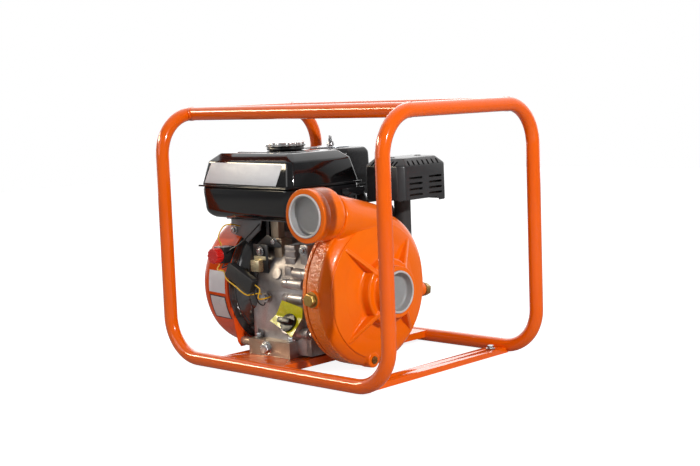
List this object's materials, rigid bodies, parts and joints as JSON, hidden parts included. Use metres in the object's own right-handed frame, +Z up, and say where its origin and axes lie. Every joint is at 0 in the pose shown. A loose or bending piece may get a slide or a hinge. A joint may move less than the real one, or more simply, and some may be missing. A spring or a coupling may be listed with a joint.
{
  "type": "portable fire pump",
  "caption": "Petrol engine driving a high-pressure two-inch centrifugal water pump inside an orange tubular roll frame, with dust plugs in its two ports.",
  "frame": {"origin": "middle of the roll frame on the ground", "axes": "+X along the crankshaft towards the pump's suction port, +Y towards the cylinder head, +Z up"},
  "size_m": [0.506, 0.383, 0.42],
  "materials": {
    "frame_paint": "gloss",
    "pump_paint": "gloss",
    "shroud_paint": "gloss",
    "tank_paint": "gloss",
    "black_sheet": "satin",
    "muffler_paint": "satin",
    "cast_aluminium": "satin",
    "bracket_steel": "satin",
    "bright_steel": "satin",
    "grey_iron": "matte",
    "chrome_cap": "polished",
    "black_plastic": "matte",
    "black_rubber": "matte",
    "red_plastic": "gloss",
    "grey_plastic": "matte",
    "bronze": "satin",
    "yellow_plastic": "gloss",
    "ceramic": "gloss",
    "filter_foam": "matte",
    "rope_cord": "matte"
  },
  "bodies": {
    "frame": {"front_u_tube": "frame_paint", "rear_u_tube": "frame_paint", "left_arch": "frame_paint", "right_arch": "frame_paint", "front_top_tube": "frame_paint", "rear_top_tube": "frame_paint", "base_plate": "frame_paint", "end_cross_bar": "frame_paint", "engine_block": "cast_aluminium", "crankcase_cover": "cast_aluminium", "cylinder_head": "cast_aluminium", "rocker_cover": "bracket_steel", "crank_bearings": "bright_steel", "oil_seals": "black_rubber", "piston": "cast_aluminium", "wrist_pin": "bright_steel", "connecting_rod": "bright_steel", "crank_pin": "bright_steel", "spark_plug": "ceramic", "plug_lead": "black_rubber", "fan_shroud": "shroud_paint", "fan_duct": "black_sheet", "recoil_housing": "black_sheet", "tank_upper": "tank_paint", "tank_lower": "tank_paint", "tank_bracket": "bracket_steel", "fuel_hose": "black_rubber", "carburettor": "cast_aluminium", "air_cleaner_base": "black_plastic", "air_cleaner_cover": "black_plastic", "filter_element": "filter_foam", "muffler": "muffler_paint", "muffler_guard": "muffler_paint", "stop_switch_base": "black_plastic", "low_oil_unit": "black_plastic", "yellow_wires": "yellow_plastic", "black_wires": "black_rubber", "pump_bracket": "pump_paint", "pump_casing": "pump_paint", "seal_seat": "bright_steel", "pump_plugs": "bronze", "bolts": "bright_steel"},
    "rotor": {"crankshaft": "bright_steel", "flywheel": "grey_iron", "starter_cup": "bright_steel", "impeller": "bronze", "seal_ring": "black_rubber"},
    "cam": {"camshaft": "bright_steel"},
    "reel": {"recoil_reel": "bracket_steel"},
    "grip": {"recoil_grip": "black_plastic", "recoil_rope": "rope_cord"},
    "choke": {"choke_lever": "bracket_steel"},
    "fuel_tap": {"fuel_tap_lever": "black_plastic"},
    "throttle": {"throttle_lever": "bracket_steel"},
    "tank_cap": {"fuel_cap": "chrome_cap"},
    "cover_nut": {"wing_nut": "bright_steel"},
    "stop_knob": {"stop_switch_knob": "red_plastic"},
    "oil_plug": {"oil_filler_plug": "black_plastic"},
    "discharge_cap": {"discharge_plug": "grey_plastic"},
    "suction_cap": {"suction_plug": "grey_plastic"}
  },
  "joints": [
    {"name": "crank_spin", "type": "hinge", "parent": "frame", "child": "rotor", "pos_m": [0, -0.034, 0.126], "axis": [1, 0, 0], "continuous": true},
    {"name": "cam_spin", "type": "hinge", "parent": "frame", "child": "cam", "pos_m": [0, -0.05042, 0.08089], "axis": [1, 0, 0], "continuous": true},
    {"name": "reel_spin", "type": "hinge", "parent": "frame", "child": "reel", "pos_m": [-0.214, -0.034, 0.126], "axis": [-1, 0, 0], "range_deg": [0, 832], "stiffness_Nm_per_rad": 0.02},
    {"name": "grip_pull", "type": "slide", "parent": "frame", "child": "grip", "axis": [0, 1, 0], "range_m": [0, 0.6], "deforming": ["recoil_rope"]},
    {"name": "choke_turn", "type": "hinge", "parent": "frame", "child": "choke", "pos_m": [-0.15, 0.12331, 0.19403], "axis": [0, 1, 0], "range_deg": [0, 60]},
    {"name": "fuel_tap_turn", "type": "hinge", "parent": "frame", "child": "fuel_tap", "pos_m": [-0.14, 0.12331, 0.18603], "axis": [0, 1, 0], "range_deg": [0, 90]},
    {"name": "throttle_turn", "type": "hinge", "parent": "frame", "child": "throttle", "pos_m": [-0.13, 0.10331, 0.20703], "axis": [0, 0, 1], "range_deg": [-35, 20]},
    {"name": "tank_cap_turn", "type": "hinge", "parent": "frame", "child": "tank_cap", "pos_m": [-0.078, -0.0575, 0.344], "axis": [0, 0, 1], "range_deg": [0, 90]},
    {"name": "cover_nut_turn", "type": "hinge", "parent": "frame", "child": "cover_nut", "pos_m": [-0.114, 0.08531, 0.352], "axis": [0, 0, 1], "range_deg": [0, 360]},
    {"name": "stop_knob_turn", "type": "hinge", "parent": "frame", "child": "stop_knob", "pos_m": [-0.148, -0.15, 0.18], "axis": [0, -1, 0], "range_deg": [0, 45]},
    {"name": "oil_plug_turn", "type": "hinge", "parent": "frame", "child": "oil_plug", "pos_m": [-0.014, -0.108, 0.066], "axis": [0, -0.866, 0.5], "range_deg": [0, 360]},
    {"name": "discharge_cap_pull", "type": "slide", "parent": "frame", "child": "discharge_cap", "axis": [0, -1, 0], "range_m": [0, 0.1]},
    {"name": "suction_cap_pull", "type": "slide", "parent": "frame", "child": "suction_cap", "axis": [1, 0, 0], "range_m": [0, 0.1]}
  ],
  "couplings": [
    {"joint": "cam_spin", "follows": "crank_spin", "ratio": -0.5},
    {"joint": "grip_pull", "follows": "reel_spin", "m_per_rad": 0.0413}
  ]
}
